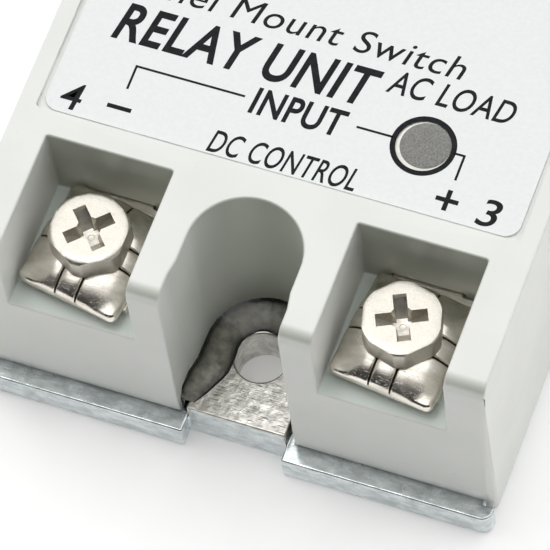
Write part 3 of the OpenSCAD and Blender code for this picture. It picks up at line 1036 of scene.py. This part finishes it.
def resin_sketch(across=18, steps=90):
    """The resin of the input notch, as one closed swept body."""
    thin = 0.12
    swelling = 0.22
    edge_start = 0.82
    sole = 0.02
    root = 1.2
    sketch = bmesh.new()
    haze = sketch.verts.layers.float.new("haze")
    loops = []
    for k in range(steps + 1):
        step = -1 + 2 * k / steps
        foot, inward = wall_point(step)
        reach = resin_reach(step)
        climb = 0.95 + 0.22 * math.sin(5 * step + 0.6)
        taper = min(1, (1 - abs(step)) / 0.06 + 0.25)
        loop = []
        for i in range(across + 1):
            share = i / across
            swell = swelling * math.sin(math.pi * min(1, share * 1.15)) ** 0.8
            past_edge = max(0, (share - edge_start) / (1 - edge_start))
            edge = math.sqrt(max(0, 1 - past_edge ** 2))
            height = (climb * (1 - share) ** 3 + (thin + swell) * edge) * taper
            spot = resin_spot(foot, inward, reach, share, tab_top + height)
            loop.append(sketch.verts.new(spot))
            loop[-1][haze] = math.sin(math.pi * min(1, max(0, (share - 0.14) / 0.78))) ** 0.6
        for share, drop in ((1, sole), (0.35, sole), (0.2, root), (0, root)):
            spot = resin_spot(foot, inward, reach, share, tab_top - drop)
            loop.append(sketch.verts.new(spot))
        loops.append(loop)
    skin(sketch, loops, ends=False)
    sketch.faces.new(loops[0])
    sketch.faces.new(loops[-1][::-1])
    return sketch


for end, side in (("input", 1), ("output", -1)):
    bead = new_piece(f"sealant_bead_{end}_finished", resin_sketch(), thin_resin, smooth=60)
    moved(bead, Matrix.Scale(side, 4, (0, 1, 0)))
    stand_for(bead, "relay_body", "resin", f"sealant_bead_{end}")

# %% [markdown]
# ## Label and indicator window
# The label is a printed film that lies in a shallow recess. The window is a smoked
# plastic disc over the lamp. Its clear rim is ground a little off centre, so its top
# ring is shifted, and the slope that this leaves is painted pale as a highlight,
# which shows as a crescent inside the printed ring.

# %% Film and window
rounded_copy("label", label_film, 0.04)

# A pale finish for the slope of the lens: a painted highlight.
window_rim = glossy_skin(
    "window_rim", (0.86, 0.85, 0.80), (0.78, 0.77, 0.72), lump=0.6, rough=0.2, depth=0.004)
flange_radius = (window_high.x - window_low.x) / 2
flange_top = window_low.z + 0.6
lens_radius = flange_radius - 0.7
lens_shift = (0.15, 0.08)
window = new_piece("indicator_window_finished", ring_stack([
    (flange_radius - 0.08, window_low.z),
    (flange_radius, window_low.z + 0.08),
    (flange_radius, flange_top),
    (lens_radius, flange_top),
    (lens_radius, window_high.z - 0.16),
    (lens_radius - 0.21, window_high.z - 0.05, *lens_shift),
    (lens_radius - 0.4, window_high.z - 0.01, *lens_shift),
    (lens_radius - 1.1, window_high.z, *lens_shift),
]), lamp_window, window_rim, smooth=35)
# The slope of the shifted ring takes the pale finish, a painted highlight.
for face in window.data.polygons:
    x, y, z = face.center / MM
    on_slope = window_high.z - 0.15 < z < window_high.z - 0.06
    face.material_index = 1 if on_slope and math.hypot(x, y) > 1 else 0
moved(window, Matrix.Translation((lamp_x, lamp_y, 0)))
stand_for(window, "relay_body", "lamp_window", "indicator_window")

# %% [markdown]
# ## Printing
# The print is plain: terminal numbers, polarity signs, lines that lead from each
# pair of terminals to a word, and a heading. Text starts as Blender's own font,
# slanted and thickened, then it becomes a mesh and is scaled to fit the space that a
# sign writer would mark out for it. All of it is joined into one thin layer of ink.
# The places are in millimetres from the middle of the relay.

# %% Lay out the print
ink_thickness = 0.012
letter_half_depth = 0.01
ink_foot = label_high.z - 0.002
ink = bmesh.new()


def print_words(words, left, right, middle, height, slant=0.0, weight=0.0):
    """Words that fill the space from left to right, at this height of letter."""
    text = bpy.data.curves.new("words", "FONT")
    text.body = words
    text.shear = slant
    text.offset = weight
    text.extrude = letter_half_depth
    text.space_character = 1.06
    text.resolution_u = 6
    holder = bpy.data.objects.new("words", text)
    bpy.context.scene.collection.objects.link(holder)
    bpy.context.view_layer.update()
    graph = bpy.context.evaluated_depsgraph_get()
    mesh = bpy.data.meshes.new_from_object(holder.evaluated_get(graph))
    xs = [vertex.co.x for vertex in mesh.vertices]
    ys = [vertex.co.y for vertex in mesh.vertices]
    scale = Vector((
        (right - left) / (max(xs) - min(xs)),
        height / (max(ys) - min(ys)),
        ink_thickness / (2 * letter_half_depth),
    ))
    centre = Vector(((max(xs) + min(xs)) / 2, (max(ys) + min(ys)) / 2, -letter_half_depth))
    target = Vector(((left + right) / 2, middle, ink_foot))
    for vertex in mesh.vertices:
        vertex.co = (vertex.co - centre) * scale + target
    ink.from_mesh(mesh)
    bpy.data.objects.remove(holder)


def print_line(*points, width=0.2):
    """A line through these points, as square-ended strokes that don't overlap."""
    for stroke, (start, end) in enumerate(zip(points, points[1:])):
        start, end = Vector(start), Vector(end)
        along = (end - start).normalized() * width / 2
        aside = Vector((-along.y, along.x))
        start += along if stroke else -along
        end += along
        outline = [start - aside, end - aside, end + aside, start + aside]
        heights = (ink_foot, ink_foot + ink_thickness)
        skin(ink, [[ink.verts.new((*spot, z)) for spot in outline] for z in heights])


def print_ring(x, y, outer, inner, segments=72):
    """A printed ring."""
    loops = []
    for radius, z in ((inner, 0), (outer, 0), (outer, ink_thickness), (inner, ink_thickness)):
        spots = circle(radius, segments, x, y)
        loops.append([ink.verts.new((*spot, ink_foot + z)) for spot in spots])
    skin(ink, loops + loops[:1], ends=False)


print("ink lies from", round(ink_foot, 3), "to", round(ink_foot + ink_thickness, 3), "mm")

# %% Print the label
# The input end: numbers, signs, the lead lines and the ring round the window.
print_words("4", -19.1, -17.3, -14.25, 2.5, slant=0.1, weight=0.004)
print_line((-15.0, -14.15), (-13.3, -14.15), width=0.38)
print_line((-14.15, -12.2), (-14.15, -10.1), (-4.85, -10.1))
print_words("INPUT", -4.1, 3.9, -10.2, 2.5, slant=0.12, weight=0.02)
print_line((4.9, -10.05), (7.8, -10.05))
print_ring(lamp_x, lamp_y, lens_radius + 0.42, lens_radius - 0.02)
print_line((13.2, -10.0), (13.95, -10.0), (13.95, -12.2))
print_line((13.17, -14.2), (14.67, -14.2), width=0.4)
print_line((13.92, -14.95), (13.92, -14.6), width=0.4)
print_line((13.92, -13.8), (13.92, -13.45), width=0.4)
print_words("3", 16.6, 18.4, -14.3, 2.5, slant=0.15, weight=0.008)
print_words("DC CONTROL", -6.1, 6.5, -14.7, 2.1, slant=0.25, weight=0.008)

# The heading, across the middle.
print_words("RELAY UNIT", -17.2, 5.3, -6.4, 3.6, slant=0.22, weight=0.02)
print_words("AC LOAD", 5.9, 16.6, -5.2, 2.2, slant=0.25, weight=0.008)
print_words("Panel Mount Switch", -17.4, 11.5, -2.45, 2.15, slant=0.2)

# The output end, laid out as the input end in reverse.
print_words("1", -18.6, -17.6, 14.25, 2.5, slant=0.15, weight=0.015)
print_words("2", 16.7, 18.5, 14.25, 2.5, slant=0.15, weight=0.015)
sign_x = 14.1
for side in (-1, 1):
    print_words("~", side * sign_x - 1, side * sign_x + 1, 14.2, 0.75, weight=0.03)
    print_line((side * sign_x, 12.2), (side * sign_x, 10.1), (side * 6.1, 10.1))
print_words("OUTPUT", -5.2, 5.2, 10.2, 2.5, slant=0.12, weight=0.02)

label_print = new_piece("label_print", ink, label_ink)
stand_for(label_print, "relay_body", "label_film")

# %% [markdown]
# ## Terminals and the pieces inside
# The strips under the washers and everything inside keep their CAD shapes. Each one
# is copied with its own small edge radius and gets its own finish, because a moulded
# block, a lacquered resistor and a tinned lead all look different on the bench.

# %% Finish the inner pieces
for number in screw_places:
    rounded_copy(f"terminal_{number}", nickel_plate, 0.12)

board_top = corners("circuit_board")[1].z
inner_pieces = {
    "circuit_board": (board_laminate, 0.08),
    "ceramic_insulator": (ceramic, 0.05),
    "triac": (black_epoxy, 0.35),
    "triac_leads": (tinned_lead, 0.08),
    "output_strap_1": (copper, 0.08),
    "output_strap_2": (copper, 0.08),
    "optocoupler": (white_epoxy, 0.12),
    "limit_transistor": (black_epoxy, 0.12),
    "input_diode": (black_epoxy, 0.15),
    "input_resistors": (resistor_coat, 0.15),
    "gate_resistor": (resistor_coat, 0.15),
    "snubber_resistor": (resistor_coat, 0.2),
    "snubber_capacitor": (film_case, 0.45),
    "led": (led_plastic, 0.1),
    "potting_resin": (resin, 0.15),
}
inner = {}
for node, (material, edge) in inner_pieces.items():
    inner[node] = rounded_copy(node, material, edge)

# %% [markdown]
# ## Wires, bands and solder
# The wires of the parts are tinned, and resistors carry painted bands that tell their
# value. A body is the tall part of its piece, so whatever lies beyond its ends is
# wire. Each wire stands in a small cone of solder. Its foot is found from the CAD
# shape, as a small flat face on the board, and Geometry Nodes set a cone on each.

# %% Tin the wires and paint the bands
band_tones = {
    "brown": ((0.13, 0.045, 0.02), (0.10, 0.035, 0.015)),
    "black": ((0.02, 0.02, 0.02), (0.012, 0.012, 0.012)),
    "red": ((0.48, 0.03, 0.02), (0.40, 0.02, 0.015)),
    "gold": ((0.55, 0.38, 0.12), (0.45, 0.30, 0.09)),
}
band_paints = [
    glossy_skin(f"band_{name}", light_tone, dark_tone, lump=0.4, rough=0.3, depth=0.004)
    for name, (light_tone, dark_tone) in band_tones.items()
]
band_starts = (0.14, 0.32, 0.50, 0.78)
band_width = 0.09
wire_half = 0.45
gap_under_part = 0.1


def mark_along(node, starts):
    """Tins the wires of a lying part and paints bands round its body."""
    piece = inner[node]
    axis_z = (board_top + gap_under_part + corners(node)[1].z) / 2
    tall = [v.co.x / MM for v in piece.data.vertices if v.co.z / MM > axis_z + wire_half]
    first, length = min(tall), max(tall) - min(tall)
    for material in (tinned_lead, *band_paints):
        piece.data.materials.append(material)
    sketch = bmesh.new()
    sketch.from_mesh(piece.data)
    for start in starts:
        for share in (start, start + band_width):
            where = Vector(((first + share * length) * MM, 0, 0))
            everything = sketch.verts[:] + sketch.edges[:] + sketch.faces[:]
            bmesh.ops.bisect_plane(sketch, geom=everything, plane_co=where, plane_no=(1, 0, 0))
    for face in sketch.faces:
        share = (face.calc_center_median().x / MM - first) / length
        if not 0 < share < 1:
            face.material_index = 1
        for band, start in enumerate(starts):
            if start < share < start + band_width:
                face.material_index = 2 + band
    sketch.to_mesh(piece.data)
    sketch.free()


for node in ("input_resistors", "gate_resistor", "snubber_resistor"):
    mark_along(node, band_starts)
mark_along("input_diode", (0.80,))
leg_tops = {"limit_transistor": 1.25, "led": 0.75}
for node, height in leg_tops.items():
    inner[node].data.materials.append(tinned_lead)
    for face in inner[node].data.polygons:
        face.material_index = 1 if face.center.z / MM < board_top + height else 0
pin_y = 3.21
inner["optocoupler"].data.materials.append(tinned_lead)
for face in inner["optocoupler"].data.polygons:
    face.material_index = 1 if abs(face.center.y / MM) > pin_y else 0


# %% Set the solder with Geometry Nodes
def solder_tree():
    """Puts a solder cone on every point that comes in."""
    tree, entry = start_tree("solder_cones", Radius="Float", Height="Float")
    nodes, links = tree.nodes, tree.links
    cone = nodes.new("GeometryNodeMeshCone")
    cone.inputs["Vertices"].default_value = 24
    links.new(entry.outputs["Radius"], cone.inputs["Radius Bottom"])
    links.new(entry.outputs["Height"], cone.inputs["Depth"])
    links.new(times(tree, entry.outputs["Radius"], 0.45), cone.inputs["Radius Top"])
    size = nodes.new("FunctionNodeRandomValue")
    size.data_type = "FLOAT_VECTOR"
    size.inputs["Min"].default_value = (0.9, 0.9, 0.8)
    size.inputs["Max"].default_value = (1.1, 1.1, 1.2)
    size.inputs["Seed"].default_value = 4
    spread = nodes.new("GeometryNodeInstanceOnPoints")
    links.new(entry.outputs["Geometry"], spread.inputs["Points"])
    links.new(cone.outputs["Mesh"], spread.inputs["Instance"])
    links.new(size.outputs["Value"], spread.inputs["Scale"])
    return end_tree(tree, entry, spread.outputs["Instances"])


def wire_feet(node, largest=2):
    """Middles of the small flat faces of a node that lie on the board."""
    sketch = sketch_of(node)
    faces = [face for face in sketch.faces if face.normal.z < -0.9 and face.calc_area() < largest]
    middles = [face.calc_center_median() for face in faces]
    sketch.free()
    return [middle for middle in middles if abs(middle.z - board_top) < 0.01]


solder_radius = 0.62
solder_height = 0.42
feet = bmesh.new()
for node in ("input_resistors", "gate_resistor", "snubber_resistor", "input_diode",
             "limit_transistor", "optocoupler", "led"):
    for foot in wire_feet(node):
        feet.verts.new(foot)
print("solder joints:", len(feet.verts))
solder = new_piece("solder_joints", feet, tinned_lead)
run_tree(solder, solder_tree(), Radius=solder_radius * MM, Height=solder_height * MM,
         Finish=tinned_lead)
stand_for(solder, "relay_body", "tinned_lead")
